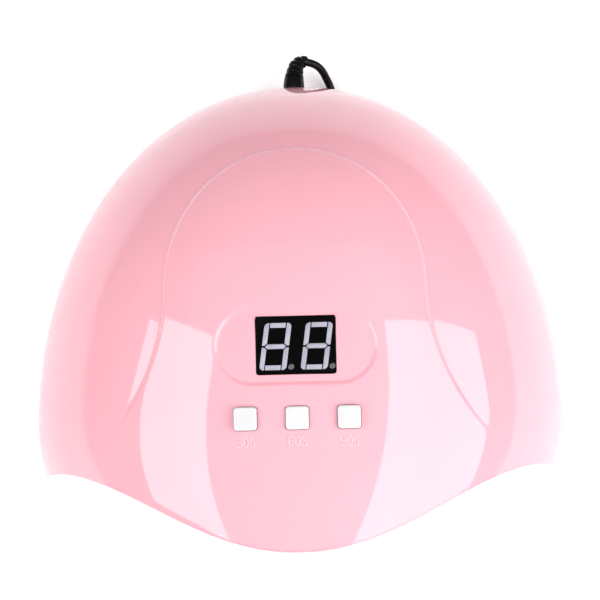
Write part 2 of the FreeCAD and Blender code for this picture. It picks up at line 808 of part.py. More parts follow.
def inner_lead():
    """The lead inside the lamp, from the strain relief up to the control board."""
    path = rounded_route(LEAD_CLIMB, widest=14.0)
    return keep(feature("lead_inside", tube(path, dim("cord_diameter") / 2)), "inner_lead")


def cable_clamp():
    """A saddle over the lead, held by two screws."""
    block = Part.makeBox(13, 5, 5, Vector(-6.5, -2.5, -2.5))
    block = block.makeFillet(0.8, [e for e in block.Edges if e.BoundBox.ZLength > 4])
    bore = Part.makeCylinder(dim("cord_diameter") / 2 + 0.25, 12, Vector(0, -6, 0), Vector(0, 1, 0))
    holes = [Part.makeCylinder(dim("screw_radius") + 0.1, 6, Vector(x, 0, -3)) for x in CLAMP_SCREWS]
    keep(feature("clamp_block", block.cut([bore] + holes), clamp_placement(0, 0)), "cable_clamp")
    screws = []
    for x in CLAMP_SCREWS:
        screws.append(placed(pan_screw(8.0), clamp_placement(x, -2.5)))
    keep(feature("clamp_screw_pair", Part.makeCompound(screws)), "clamp_screws")


def gap_point(x, y):
    """A point half-way between the reflector and the housing above it."""
    return Vector(x, y, (reflector_outside.height(x, y) + inner_dome.height(x, y)) / 2)


def wiring():
    """Thin wires from the control board to each light board and the sensor board."""
    top, left, right, rear = BOARDS
    runs = [
        (face_placement(9, 17, BOARD_BOTTOM), [], top, (9, 7)),
        (face_placement(-21, 4, BOARD_BOTTOM), [gap_point(-40, -16)], left, (3, 12)),
        (face_placement(21, 4, BOARD_BOTTOM), [gap_point(40, -16)], right, (-3, 12)),
        (face_placement(15, 17, BOARD_BOTTOM), [gap_point(14, 18), gap_point(13, 38)], rear, (1, 15)),
        (face_placement(-6, -17, BOARD_BOTTOM), [], SENSOR_BOARD, (-2, 1)),
    ]
    wires = []
    for start, between, board, (u, v) in runs:
        down = start.Rotation.multVec(Vector(0, 0, -1))
        end = board.placement.multVec(Vector(u, v, dim("board_thick")))
        points = [start.Base, start.Base + down * 2.0] + between + [end + board.normal * 2.4, end]
        wires.append(tube(rounded_route(points), 0.55))
    return keep(feature("wire_runs", Part.makeCompound(wires)), "wiring")


def relief_station(travel):
    """Centre and direction at a distance along the strain relief, from its lean's start."""
    lean_bend, bend = dim("relief_lean_bend"), dim("relief_bend")
    lean = math.radians(dim("relief_lean"))
    if travel < lean_bend * lean:
        angle = max(0.0, travel) / lean_bend
        out = lean_bend * (1 - math.cos(angle))
        y = dim("relief_start") + lean_bend * math.sin(angle) + min(0.0, travel)
    else:
        angle = lean + (travel - lean_bend * lean) / bend
        out = lean_bend * (1 - math.cos(lean)) + bend * (math.cos(lean) - math.cos(angle))
        y = dim("relief_start") + (lean_bend - bend) * math.sin(lean) + bend * math.sin(angle)
    drop = math.radians(dim("relief_drop"))
    centre = Vector(out * math.cos(drop), y, dim("outlet_height") - out * math.sin(drop))
    ahead = Vector(math.sin(angle) * math.cos(drop), math.cos(angle), -math.sin(angle) * math.sin(drop))
    return centre, ahead


RELIEF_LENGTH = (dim("relief_lean_bend") * math.radians(dim("relief_lean"))
                 + dim("relief_bend") * math.radians(dim("relief_turn") - dim("relief_lean")))
RELIEF_TIP, RELIEF_AHEAD = relief_station(RELIEF_LENGTH)


def relief_stations():
    """Distance and radius of every section: straight collar, taper, then ribs down to the tip."""
    stations = [(-5.5, dim("relief_radius")), (0.2, dim("relief_radius")), (2.4, 3.2), (2.5, 2.75)]
    ribs = 5
    pitch = (RELIEF_LENGTH - 2.9) / ribs
    for i in range(ribs):
        start = 2.6 + pitch * i
        groove, crest = 2.75 - 0.19 * i, 3.1 - 0.2 * i
        stations += [(start + 0.25, groove), (start + 0.5, crest)]
        stations += [(start + 1.1, crest), (start + 1.35, groove)]
    return stations + [(RELIEF_LENGTH, 1.9)]


def strain_relief():
    """A tapered ribbed boot with a smooth collar, held in the wall by a flange inside it."""
    sections = []
    for travel, radius in relief_stations():
        centre, ahead = relief_station(travel)
        sections.append(Part.Wire(Part.Circle(centre, ahead, radius).toShape()))
    boot = Part.makeLoft(sections, True, True)
    flange = Part.makeCylinder(4.8, 1.2, Vector(0, 72.4, dim("outlet_height")), Vector(0, 1, 0))
    return keep(feature("relief_boot", fuse_all([flange, boot])), "strain_relief")


def coil_point(degrees, level):
    """A point on the coil's outermost turn."""
    angle = math.radians(degrees)
    radius = dim("coil_radius") + (dim("coil_columns") - 1) / 2 * dim("cord_diameter")
    return Vector(dim("coil_x") + radius * math.cos(angle), dim("coil_y") + radius * math.sin(angle), level)


def cord_routes():
    """Corner points of the two uncoiled stretches of the lead."""
    low = dim("cord_diameter") / 2 + 0.05
    first_turn = dim("coil_lift") + dim("cord_diameter") / 2
    last_turn = first_turn + (dim("coil_layers") - 1) * dim("cord_diameter")
    to_coil = [
        RELIEF_TIP,
        RELIEF_TIP + RELIEF_AHEAD * 3.0,
        Vector(9.1, 85.3, 7.75),
        Vector(10.6, 83.3, 5.0),
        Vector(12.1, 80.6, 2.3),
        Vector(13.2, 76.4, low),
        Vector(15.2, 69.5, low),
        Vector(22.0, 57.0, low),
        coil_point(0, low + 0.3) + Vector(0, 9.0, 0),
        coil_point(0, first_turn),
    ]
    turn = math.radians(dim("plug_turn"))
    plug_axis = Vector(math.sin(turn), math.cos(turn), 0)
    plug = Vector(dim("plug_x"), dim("plug_y"), dim("grip_tall") / 2)
    to_plug = [
        coil_point(295, last_turn),
        Vector(-2.0, 12.6, 2.6),
        Vector(-21.4, 2.9, low),
        Vector(-28.6, 4.6, low + 0.6),
        plug - plug_axis * 6.0,
        plug,
    ]
    return to_coil, to_plug


def power_cord():
    """The two uncoiled stretches, each a solid of its own."""
    to_coil, to_plug = cord_routes()
    radius = dim("cord_diameter") / 2
    for name, route in (("power_cord", to_coil), ("plug_tail", to_plug)):
        path = rounded_route(route, report=name)
        solid = tube(path, radius)
        wanted = math.pi * radius ** 2 * path.Length
        print("%s: length %.1f mm, volume %.1f of %.1f mm3" % (name, path.Length, solid.Volume, wanted))
        keep(feature(name + "_tube", solid), name)


def cord_coil():
    """The put-away length: the outer shape of two layers of turns, and the tie round them."""
    radius, thick = dim("coil_radius"), dim("cord_diameter")
    wide = dim("coil_columns") * thick
    tall = dim("coil_layers") * thick
    turns = dim("coil_columns") * dim("coil_layers")
    print("coil: %d turns, %.0f mm" % (turns, turns * 2 * math.pi * radius))
    profile = Part.makeBox(wide, 1, tall, Vector(radius - wide / 2, 0, 0))
    profile = profile.makeFillet(thick / 2 - 0.02, [e for e in profile.Edges if e.BoundBox.YLength > 0.9])
    face = [f for f in profile.Faces if f.BoundBox.YMax < 1e-6][0]
    ring = face.revolve(Vector(0, 0, 0), Vector(0, 0, 1), 360)
    place = Placement(Vector(dim("coil_x"), dim("coil_y"), dim("coil_lift")), Rotation())
    coil = keep(feature("coil_ring", ring, place), "cord_coil")
    band = Part.makeBox(5, wide + 1.2, tall + 1.2,
                        Vector(-2.5, radius - wide / 2 - 0.6, -0.6))
    band = band.makeFillet(1.2, [e for e in band.Edges if e.BoundBox.XLength > 4.9])
    tie = feature("tie_band", band, place)
    keep(boolean("Cut", "cord_tie", tie, coil), "cord_tie")


def usb_plug():
    """Moulded grip, folded metal shell and the contact tongue inside it."""
    base = Placement(Vector(dim("plug_x"), dim("plug_y"), 0), Rotation(Vector(0, 0, 1), -dim("plug_turn")))
    grip = primitive("Box", "grip_block",
                     {"Length": "dims.grip_width", "Width": "dims.grip_length", "Height": "dims.grip_tall"},
                     base.multiply(Placement(Vector(-dim("grip_width") / 2, 0, 0), Rotation())))
    rounded = doc.addObject("Part::Fillet", "usb_plug_grip")
    rounded.Base = grip
    doc.recompute()
    rounded.Edges = [(i + 1, 1.6, 1.6) for i in range(len(grip.Shape.Edges))]
    keep(rounded, "usb_plug_grip")
    wide, tall, deep = dim("shell_width"), dim("shell_tall"), dim("shell_length")
    low = (dim("grip_tall") - tall) / 2
    shell = Part.makeBox(wide, deep, tall, Vector(-wide / 2, dim("grip_length"), low))
    hollow = Part.makeBox(wide - 0.7, deep - 0.4, tall - 0.7,
                          Vector(-wide / 2 + 0.35, dim("grip_length") + 0.4, low + 0.35))
    windows = [Part.makeBox(2.4, 2.0, 1.5, Vector(x - 1.2, dim("grip_length") + 6.0, low + tall - 1.0))
               for x in (-2.6, 2.6)]
    keep(feature("plug_shell", shell.cut([hollow] + windows), base), "usb_plug_shell")
    tongue = Part.makeBox(wide - 1.2, deep - 1.4, 1.8,
                          Vector(-wide / 2 + 0.6, dim("grip_length") + 0.4, low + 0.35))
    keep(feature("plug_tongue", tongue, base), "usb_plug_tongue")


# ---------------------------------------------------------------- feet and screws

def rubber_feet():
    """Four round feet under the flange."""
    feet = []
    for i, (x, y) in enumerate(FEET):
        feet.append(primitive("Cone", "foot_%d" % i,
                              {"Radius1": "dims.foot_radius - 0.5", "Radius2": "dims.foot_radius",
                               "Height": "dims.rim_height"},
                              Placement(Vector(x, y, 0), Rotation())))
    return keep(group("rubber_feet", feet), "rubber_feet")


def screws():
    """Rim screws from below, and the board screws."""
    rim = [placed(pan_screw(9.0), Placement(Vector(x, y, dim("rim_height")), Rotation()))
           for x, y in RIM_SCREWS]
    keep(feature("rim_screw_set", Part.makeCompound(rim)), "rim_screws")
    board = [placed(pan_screw(5.0), face_placement(u, v, BOARD_BOTTOM)) for u, v in POST_PLACES]
    keep(feature("board_screw_set", Part.makeCompound(board)), "board_screws")
    light = [screw for item in BOARDS + [SENSOR_BOARD] for screw in item.screws()]
    keep(feature("light_screw_set", Part.makeCompound(light)), "light_board_screws")


keep(outer_shell(), "outer_shell")
keep(inner_reflector(), "inner_reflector")
for board in BOARDS:
    board.board()
    board.beads(board.name.replace("board", "beads"), dim("bead_radius"), dim("bead_proud"))
SENSOR_BOARD.board()
SENSOR_BOARD.beads("hand_sensors", 1.5, 0.3)
control_board()
display()
board_parts()
switch_bodies()
for name, u in KEYS.items():
    key_cap(name, u)
    key_plunger(name, u)
inner_lead()
cable_clamp()
wiring()
strain_relief()
power_cord()
cord_coil()
usb_plug()
rubber_feet()
screws()
doc.recompute()

# ---------------------------------------------------------------- checks and files

faults = []
for obj in doc.Objects:
    if "Invalid" in obj.State or "Error" in obj.State:
        faults.append("%s is %s" % (obj.Label, obj.State))
for obj in parts:
    if obj.Shape.isNull() or not obj.Shape.isValid() or not obj.Shape.Solids:
        faults.append("%s has no valid solid" % obj.Label)
if faults:
    sys.exit("\n".join(faults))

os.makedirs("parts", exist_ok=True)
for obj in parts:
    obj.Shape.exportStep(os.path.join("parts", obj.Label + ".step"))
    box = obj.Shape.BoundBox
    print("%-20s %2d solids %9.1f mm3  X %6.1f %6.1f  Y %6.1f %6.1f  Z %5.1f %5.1f" % (
        obj.Label, len(obj.Shape.Solids), obj.Shape.Volume,
        box.XMin, box.XMax, box.YMin, box.YMax, box.ZMin, box.ZMax))
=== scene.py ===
import math

import bmesh
import bpy
import numpy as np
from mathutils import Matrix, Vector


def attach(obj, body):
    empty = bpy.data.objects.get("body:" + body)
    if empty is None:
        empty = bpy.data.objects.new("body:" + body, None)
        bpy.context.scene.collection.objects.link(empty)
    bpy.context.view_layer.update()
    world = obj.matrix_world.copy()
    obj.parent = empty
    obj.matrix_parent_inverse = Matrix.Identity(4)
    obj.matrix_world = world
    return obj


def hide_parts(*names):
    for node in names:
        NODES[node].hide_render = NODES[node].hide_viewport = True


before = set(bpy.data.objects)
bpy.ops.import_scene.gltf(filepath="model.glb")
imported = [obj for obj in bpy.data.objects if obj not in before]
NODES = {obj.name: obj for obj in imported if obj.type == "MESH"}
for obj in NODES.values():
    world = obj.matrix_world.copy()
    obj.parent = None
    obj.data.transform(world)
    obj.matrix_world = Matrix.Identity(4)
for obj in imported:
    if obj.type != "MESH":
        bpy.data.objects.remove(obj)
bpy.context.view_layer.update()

MM = 0.001


# ---------------------------------------------------------------- camera

CAMERA_TARGET = Vector((0.92, 1.8, 30.0))
CAMERA_AZIMUTH, CAMERA_ELEVATION, CAMERA_ROLL = 4.0, 77.0, -5.23
CAMERA_DISTANCE = 0.7
CAMERA_LENS, CAMERA_SENSOR = 133.9, 36.0


def place_camera():
    """Looks down on the lamp from the front, a little from the right."""
    azimuth, elevation = math.radians(CAMERA_AZIMUTH), math.radians(CAMERA_ELEVATION)
    roll = math.radians(CAMERA_ROLL)
    target = CAMERA_TARGET * MM
    back = Vector((math.sin(azimuth) * math.cos(elevation),
                   -math.cos(azimuth) * math.cos(elevation), math.sin(elevation)))
    right = Vector((math.cos(azimuth), math.sin(azimuth), 0.0))
    up = back.cross(right)
    across = right * math.cos(roll) + up * math.sin(roll)
    upward = up * math.cos(roll) - right * math.sin(roll)
    data = bpy.data.cameras.new("camera")
    data.lens = CAMERA_LENS
    data.sensor_width = CAMERA_SENSOR
    data.clip_start, data.clip_end = 0.01, 20.0
    camera = bpy.data.objects.new("camera", data)
    bpy.context.scene.collection.objects.link(camera)
    turn = Matrix((across, upward, back)).transposed()
    camera.matrix_world = Matrix.Translation(target + back * CAMERA_DISTANCE) @ turn.to_4x4()
    bpy.context.scene.camera = camera


place_camera()


# ---------------------------------------------------------------- materials

class Graph:
    """A material's node tree, with short calls for the nodes that repeat."""

    def __init__(self, name):
        self.material = bpy.data.materials.new(name)
        self.material.use_nodes = True
        self.nodes = self.material.node_tree.nodes
        self.links = self.material.node_tree.links
        self.shader = self.nodes["Principled BSDF"]
        self.place = self.nodes.new("ShaderNodeTexCoord").outputs["Object"]

    def noise(self, scale, detail=3.0):
        """Noise over the object's own coordinates; scale is in cycles a metre."""
        node = self.nodes.new("ShaderNodeTexNoise")
        node.inputs["Scale"].default_value = scale
        node.inputs["Detail"].default_value = detail
        self.links.new(self.place, node.inputs["Vector"])
        return node.outputs["Fac"]

    def spread(self, value, low, high):
        """A noise value, which mostly lies between 0.3 and 0.7, mapped to a range."""
        node = self.nodes.new("ShaderNodeMapRange")
        node.inputs["From Min"].default_value = 0.3
        node.inputs["From Max"].default_value = 0.7
        node.inputs["To Min"].default_value = low
        node.inputs["To Max"].default_value = high
        self.links.new(value, node.inputs["Value"])
        return node.outputs["Result"]

    def ramp(self, value, stops):
        """A colour for a value, from (position, colour) stops."""
        node = self.nodes.new("ShaderNodeValToRGB")
        elements = node.color_ramp.elements
        while len(elements) < len(stops):
            elements.new(0.5)
        for element, (position, colour) in zip(elements, stops):
            element.position = position
            element.color = (*colour, 1.0)
        self.links.new(value, node.inputs["Fac"])
        return node.outputs["Color"]

    def set(self, socket, value):
        """A fixed number or colour, or a link, on the shader."""
        target = self.shader.inputs[socket]
        if isinstance(value, bpy.types.NodeSocket):
            self.links.new(value, target)
        elif isinstance(value, tuple):
            target.default_value = (*value, 1.0)
        else:
            target.default_value = value

    def bump(self, height, strength, distance=0.0002):
        """Relief from a height value; distance is in metres."""
        node = self.nodes.new("ShaderNodeBump")
        node.inputs["Strength"].default_value = strength
        node.inputs["Distance"].default_value = distance
        self.links.new(height, node.inputs["Height"])
        self.links.new(node.outputs["Normal"], self.shader.inputs["Normal"])


def plastic(name, dark, light, mottle=60.0, rough=(0.3, 0.4), grain=2500.0, relief=0.1, **fixed):
    """Moulded plastic, rubber or metal: two close tones, uneven gloss and a fine surface grain."""
    graph = Graph(name)
    graph.set("Base Color", graph.ramp(graph.noise(mottle), [(0.3, dark), (0.7, light)]))
    graph.set("Roughness", graph.spread(graph.noise(mottle * 7), *rough))
    for socket, value in fixed.items():
        graph.set(socket.replace("_", " "), value)
    graph.bump(graph.noise(grain, detail=2.0), relief)
    return graph.material


def circuit(name, ground, track, pitch=900.0):
    """A circuit board: tracks a little lighter than the lacquer between them."""
    graph = Graph(name)
    brick = graph.nodes.new("ShaderNodeTexBrick")
    brick.offset = 0.37
    brick.inputs["Scale"].default_value = pitch
    brick.inputs["Mortar Size"].default_value = 0.07
    brick.inputs["Brick Width"].default_value = 2.6
    brick.inputs["Row Height"].default_value = 0.8
    brick.inputs["Color1"].default_value = (*ground, 1.0)
    brick.inputs["Color2"].default_value = tuple(c * 0.93 for c in ground) + (1.0,)
    brick.inputs["Mortar"].default_value = (*track, 1.0)
    graph.links.new(graph.place, brick.inputs["Vector"])
    graph.set("Base Color", brick.outputs["Color"])
    graph.set("Roughness", graph.spread(graph.noise(300), 0.22, 0.38))
    graph.bump(brick.outputs["Fac"], 0.35, 0.00005)
    return graph.material


def pink_gloss():
    """The housing: high-gloss pink, very faintly uneven in tone, gloss and flatness."""
    graph = Graph("pink_gloss")
    tone = graph.noise(18, detail=2.0)
    pinks = [(0.3, (0.862, 0.408, 0.478)), (0.7, (0.878, 0.428, 0.494))]
    graph.set("Base Color", graph.ramp(tone, pinks))
    graph.set("Roughness", graph.spread(graph.noise(240), 0.035, 0.06))
    graph.set("IOR", 1.5)
    graph.set("Subsurface Weight", 0.12)
    graph.set("Subsurface Scale", 0.002)
    graph.set("Coat Weight", 0.25)
    graph.set("Coat Roughness", 0.02)
    graph.bump(graph.noise(45, detail=1.0), 0.04, 0.0003)
    return graph.material


MATERIALS = {
    "outer_shell": pink_gloss(),
    # Lighter pink for the raised marks: a painted highlight standing in for the softboxes' reflection on
    # them.
    "painted_highlight_pink": plastic("painted_highlight_pink", (0.89, 0.51, 0.575), (0.90, 0.54, 0.60), 200, (0.12, 0.2), 1500, 0.03,
                         Coat_Weight=0.3),
    "inner_reflector": plastic("white_liner", (0.80, 0.80, 0.80), (0.86, 0.86, 0.86), 30, (0.28, 0.4),
                               1800, 0.08),
    "light_board": circuit("light_board", (0.80, 0.81, 0.80), (0.62, 0.62, 0.58), 500.0),
    "light_bead": plastic("light_bead", (0.83, 0.80, 0.62), (0.88, 0.85, 0.70), 400, (0.08, 0.16), 900,
                          0.05, Transmission_Weight=0.25, IOR=1.48, Coat_Weight=0.6),
    "green_board": circuit("green_board", (0.015, 0.105, 0.045), (0.035, 0.20, 0.085)),
    "sensor_lens": plastic("sensor_lens", (0.012, 0.010, 0.016), (0.03, 0.02, 0.035), 500, (0.06, 0.12),
                           900, 0.03, Coat_Weight=0.5),
    "display_black": plastic("display_black", (0.0011, 0.001, 0.001), (0.002, 0.0018, 0.0018), 120,
                             (0.28, 0.4), 1500, 0.05, Specular_IOR_Level=0.03),
    "display_segment": plastic("display_segment", (0.36, 0.35, 0.43), (0.43, 0.42, 0.50), 260,
                               (0.35, 0.5), 2200, 0.08, Subsurface_Weight=0.3, Subsurface_Scale=0.0006),
    "display_point": plastic("display_point", (0.07, 0.075, 0.073), (0.10, 0.105, 0.103), 500,
                             (0.35, 0.5), 2200, 0.08),
    "key_white": plastic("key_white", (0.68, 0.675, 0.685), (0.71, 0.705, 0.715), 200, (0.10, 0.16),
                         1200, 0.03, Coat_Weight=0.4, Subsurface_Weight=0.2, Subsurface_Scale=0.001),
    "plunger": plastic("plunger", (0.32, 0.02, 0.015), (0.40, 0.03, 0.02), 300, (0.3, 0.4)),
    "switch_black": plastic("switch_black", (0.012, 0.012, 0.012), (0.02, 0.02, 0.02), 300, (0.4, 0.55)),
    "capacitor_can": plastic("capacitor_can", (0.015, 0.014, 0.02), (0.03, 0.028, 0.04), 250,
                             (0.25, 0.4)),
    "inductor_body": plastic("inductor_body", (0.05, 0.048, 0.045), (0.085, 0.08, 0.075), 400,
                             (0.55, 0.7), 1500, 0.3),
    "chip_black": plastic("chip_black", (0.014, 0.014, 0.015), (0.024, 0.024, 0.025), 500, (0.45, 0.6)),
    "connector_white": plastic("connector_white", (0.74, 0.73, 0.68), (0.80, 0.79, 0.74), 200,
                               (0.35, 0.45)),
    "wire_white": plastic("wire_white", (0.70, 0.69, 0.66), (0.78, 0.77, 0.74), 120, (0.35, 0.5)),
    "cord_black": plastic("cord_black", (0.001, 0.001, 0.0012), (0.0025, 0.0025, 0.0028), 150,
                          (0.20, 0.32), 1400, 0.15, Specular_IOR_Level=0.16),
    "relief_black": plastic("relief_black", (0.001, 0.001, 0.0012), (0.003, 0.003, 0.0033), 180,
                            (0.16, 0.28), 1500, 0.12, Specular_IOR_Level=0.17),
    "clamp_white": plastic("clamp_white", (0.70, 0.70, 0.69), (0.77, 0.77, 0.76), 90, (0.35, 0.5)),
    "screw_steel": plastic("screw_steel", (0.45, 0.45, 0.46), (0.60, 0.60, 0.61), 900, (0.25, 0.42),
                           3500, 0.12, Metallic=1.0),
    "tie_black": plastic("tie_black", (0.006, 0.006, 0.006), (0.014, 0.014, 0.014), 900, (0.6, 0.8),
                         2600, 0.6),
    "grip_black": plastic("grip_black", (0.005, 0.005, 0.0055), (0.010, 0.010, 0.0105), 140, (0.35, 0.5),
                          2400, 0.2),
    "plug_metal": plastic("plug_metal", (0.62, 0.62, 0.63), (0.72, 0.72, 0.73), 500, (0.2, 0.32), 2500,
                          0.1, Metallic=1.0),
    "plug_tongue": plastic("plug_tongue", (0.72, 0.72, 0.72), (0.80, 0.80, 0.80), 160, (0.35, 0.45)),
    "foot_rubber": plastic("foot_rubber", (0.55, 0.54, 0.53), (0.64, 0.63, 0.62), 200, (0.6, 0.75), 1800,
                           0.3),
}
NODE_FINISH = {
    "outer_shell": "outer_shell", "inner_reflector": "inner_reflector", "sensor_board": "green_board",
    "hand_sensors": "sensor_lens", "control_board": "green_board", "display_housing": "display_black",
    "display_segments": "display_segment", "capacitor": "capacitor_can", "inductor": "inductor_body",
    "driver_chip": "chip_black", "board_connectors": "connector_white", "switch_bodies": "switch_black",
    "inner_lead": "cord_black", "cable_clamp": "clamp_white", "clamp_screws": "screw_steel",
    "wiring": "wire_white", "strain_relief": "relief_black", "power_cord": "cord_black",
    "plug_tail": "cord_black", "cord_coil": "cord_black", "cord_tie": "tie_black",
    "usb_plug_grip": "grip_black", "usb_plug_shell": "plug_metal", "usb_plug_tongue": "plug_tongue",
    "rubber_feet": "foot_rubber", "rim_screws": "screw_steel", "board_screws": "screw_steel",
    "light_board_screws": "screw_steel",
}
for side in ("top", "left", "right", "rear"):
    NODE_FINISH["led_board_" + side] = "light_board"
    NODE_FINISH["led_beads_" + side] = "light_bead"
for seconds in ("30s", "60s", "90s"):
    NODE_FINISH["button_" + seconds] = "key_white"
    NODE_FINISH["plunger_" + seconds] = "plunger"
for node, finish in NODE_FINISH.items():
    NODES[node].data.materials.clear()
    NODES[node].data.materials.append(MATERIALS[finish])


# ---------------------------------------------------------------- mesh helpers

def add_piece(name, mesh, finish, body="lamp", replaces=(), slot=None):
    """A new visible piece made from a mesh in the lamp's frame."""
    obj = bpy.data.objects.new(name, mesh)
    bpy.context.scene.collection.objects.link(obj)
    mesh.materials.append(MATERIALS[finish])
    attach(obj, body)
    if replaces:
        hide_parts(*replaces)
    return obj


def mesh_from(name, points, faces, sharp=35.0):
    """A smooth-shaded mesh from points in millimetres, with edges past an angle kept sharp."""
    mesh = bpy.data.meshes.new(name)
    mesh.from_pydata((np.asarray(points) * MM).tolist(), [], faces)
    finish_mesh(mesh, sharp)
    return mesh


def finish_mesh(mesh, sharp):
    """Outward normals, smooth faces and sharp creases."""
    work = bmesh.new()
    work.from_mesh(mesh)
    bmesh.ops.recalc_face_normals(work, faces=work.faces)
    limit = math.radians(sharp)
    for face in work.faces:
        face.smooth = True
    for edge in work.edges:
        edge.smooth = len(edge.link_faces) == 2 and edge.calc_face_angle(0.0) < limit
    work.to_mesh(mesh)
    work.free()
    mesh.update()


def evaluated_mesh(obj):
    """An object's mesh with its modifiers or its curve's thickness applied."""
    return bpy.data.meshes.new_from_object(obj.evaluated_get(bpy.context.evaluated_depsgraph_get()))


def loft_faces(rings, count, closed=False):
    """Quads between rings of points. The last ring joins the first, or single faces cap the ends."""
    faces = []
    last = rings if closed else rings - 1
    for j in range(last):
        a, b = j * count, (j + 1) % rings * count
        for i in range(count):
            k = (i + 1) % count
            faces.append((a + i, a + k, b + k, b + i))
    if not closed:
        faces.append(tuple(range(count))[::-1])
        faces.append(tuple(range((rings - 1) * count, rings * count)))
    return faces


def sweep(name, centres, aheads, radii, finish, sides=48, **options):
    """A round body along a path, with its own radius at every station."""
    points = []
    side = Vector((0, 0, 1))
    for centre, ahead, radius in zip(centres, aheads, radii):
        side = (side - ahead * side.dot(ahead)).normalized()
        other = ahead.cross(side)
        for i in range(sides):
            angle = 2 * math.pi * i / sides
            points.append(centre + (side * math.cos(angle) + other * math.sin(angle)) * radius)
    add_piece(name, mesh_from(name, points, loft_faces(len(centres), sides)), finish, **options)


# ---------------------------------------------------------------- strain relief and cord

LEAN_BEND, LEAN = 25.0, math.radians(14.0)
RELIEF_BEND, RELIEF_TURN = 3.4, math.radians(100.0)
RELIEF_START = 78.4
RELIEF_DROP = math.radians(20.0)
RELIEF_LENGTH = LEAN_BEND * LEAN + RELIEF_BEND * (RELIEF_TURN - LEAN)
RIBS_START = 2.4
RIBS = 5
FLANGE_FACE = -4.8
OUTLET_HEIGHT = 12.0


def relief_station(travel):
    """Centre and direction at a distance along the strain relief, from its lean's start."""
    if travel < LEAN_BEND * LEAN:
        angle = max(0.0, travel) / LEAN_BEND
        out = LEAN_BEND * (1 - math.cos(angle))
        y = RELIEF_START + LEAN_BEND * math.sin(angle) + min(0.0, travel)
    else:
        angle = LEAN + (travel - LEAN_BEND * LEAN) / RELIEF_BEND
        out = LEAN_BEND * (1 - math.cos(LEAN)) + RELIEF_BEND * (math.cos(LEAN) - math.cos(angle))
        y = RELIEF_START + (LEAN_BEND - RELIEF_BEND) * math.sin(LEAN) + RELIEF_BEND * math.sin(angle)
    centre = Vector((out * math.cos(RELIEF_DROP), y, OUTLET_HEIGHT - out * math.sin(RELIEF_DROP)))
    ahead = Vector((math.sin(angle) * math.cos(RELIEF_DROP), math.cos(angle),
                    -math.sin(angle) * math.sin(RELIEF_DROP)))
    return centre, ahead


def relief_radius(travel):
    """Flange inside the wall, smooth collar, then a taper with rounded ribs."""
    if travel < FLANGE_FACE:
        return 4.7
    if travel < RIBS_START:
        return 3.48 - 0.115 * max(0.0, travel)
    share = (travel - RIBS_START) / (RELIEF_LENGTH - RIBS_START)
    wave = 0.5 - 0.5 * math.cos(2 * math.pi * RIBS * share)
    rib = min(1.0, 1.7 * wave ** 0.8)
    return 2.72 - 1.07 * share + (0.44 - 0.2 * share) * rib


def strain_relief():
    """The boot, with close stations where its radius steps and along the ribs."""
    travels = [-6.0, -5.9, -4.9, -4.85]
    travels += list(np.linspace(-4.75, RIBS_START - 0.2, 20)) + [RIBS_START - 0.08, RIBS_START - 0.01]
    travels += list(np.linspace(RIBS_START, RELIEF_LENGTH, 96))
    radii = [relief_radius(t) for t in travels]
    radii[0] -= 0.15
    radii[-1] -= 0.25
    stations = [relief_station(t) for t in travels]
    sweep("relief_boot", [s[0] for s in stations], [s[1] for s in stations], radii,
          "relief_black", replaces=["strain_relief"], slot="relief_black")


COIL_X, COIL_Y = 6.0, 38.0
COIL_OUTER = 21.1
PITCH_IN, PITCH_OUT = 2.56, 2.3
COIL_BOTTOM, COIL_CLIMB = 2.0, 2.6
TURNS_IN, TURNS_RISING, TURNS = 4.75, 0.5, 10 + 65.0 / 360.0
POINTS_A_TURN = 16


def coil_points():
    """Two layers of turns: inwards on the bottom, over the inside, and outwards on top."""
    points = []
    inner = COIL_OUTER - PITCH_IN * TURNS_IN
    count = int(TURNS * POINTS_A_TURN)
    for i in range(count + 1):
        turns = TURNS * i / count
        if turns < TURNS_IN:
            radius, z = COIL_OUTER - PITCH_IN * turns, COIL_BOTTOM
        elif turns < TURNS_IN + TURNS_RISING:
            share = (turns - TURNS_IN) / TURNS_RISING
            radius = inner - 0.5 * math.sin(math.pi * share)
            z = COIL_BOTTOM + COIL_CLIMB * (3 - 2 * share) * share ** 2
        else:
            radius = inner + PITCH_OUT * (turns - TURNS_IN - TURNS_RISING)
            z = COIL_BOTTOM + COIL_CLIMB
        angle = -2 * math.pi * turns
        points.append((COIL_X + radius * math.cos(angle), COIL_Y + radius * math.sin(angle), z))
    return points


CORD_RADIUS = 1.3
PLUG = Vector((-31.6, 17.0, 3.8))
PLUG_TURN = math.radians(8.0)


def power_cord():
    """One smooth line: out of the boot, down under the rear rim, round the coil, to the plug."""
    tip, ahead = relief_station(RELIEF_LENGTH)
    axis = Vector((math.sin(PLUG_TURN), math.cos(PLUG_TURN), 0))
    route = [tip - ahead * 1.0, tip, tip + ahead * 3.0, (9.1, 85.3, 7.75), (10.6, 83.3, 5.0),
             (12.1, 80.6, 2.3), (13.2, 76.4, 1.38), (15.2, 69.5, 1.35), (22.6, 57.0, 1.35),
             (27.0, 46.5, 1.6)]
    route += coil_points()
    route += [(-2.0, 12.6, 2.6), (-21.4, 2.9, 1.35), (-28.6, 4.6, 1.95), PLUG - axis * 6.0,
              PLUG + axis * 1.0]
    curve = bpy.data.curves.new("lead", "CURVE")
    curve.dimensions = "3D"
    curve.bevel_depth = CORD_RADIUS * MM
    curve.bevel_resolution = 8
    curve.resolution_u = 8
    curve.use_fill_caps = True
    spline = curve.splines.new("NURBS")
    spline.points.add(len(route) - 1)
    for point, place in zip(spline.points, route):
        point.co = (*(Vector(place) * MM), 1.0)
    spline.order_u = 3
    spline.use_endpoint_u = True
    curve.materials.append(MATERIALS["cord_black"])
    obj = bpy.data.objects.new("lead", curve)
    bpy.context.scene.collection.objects.link(obj)
    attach(obj, "lamp")
    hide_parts("power_cord", "cord_coil", "plug_tail")
    return obj, tip


strain_relief()
lead, lead_exit = power_cord()


# ---------------------------------------------------------------- the housing's surface

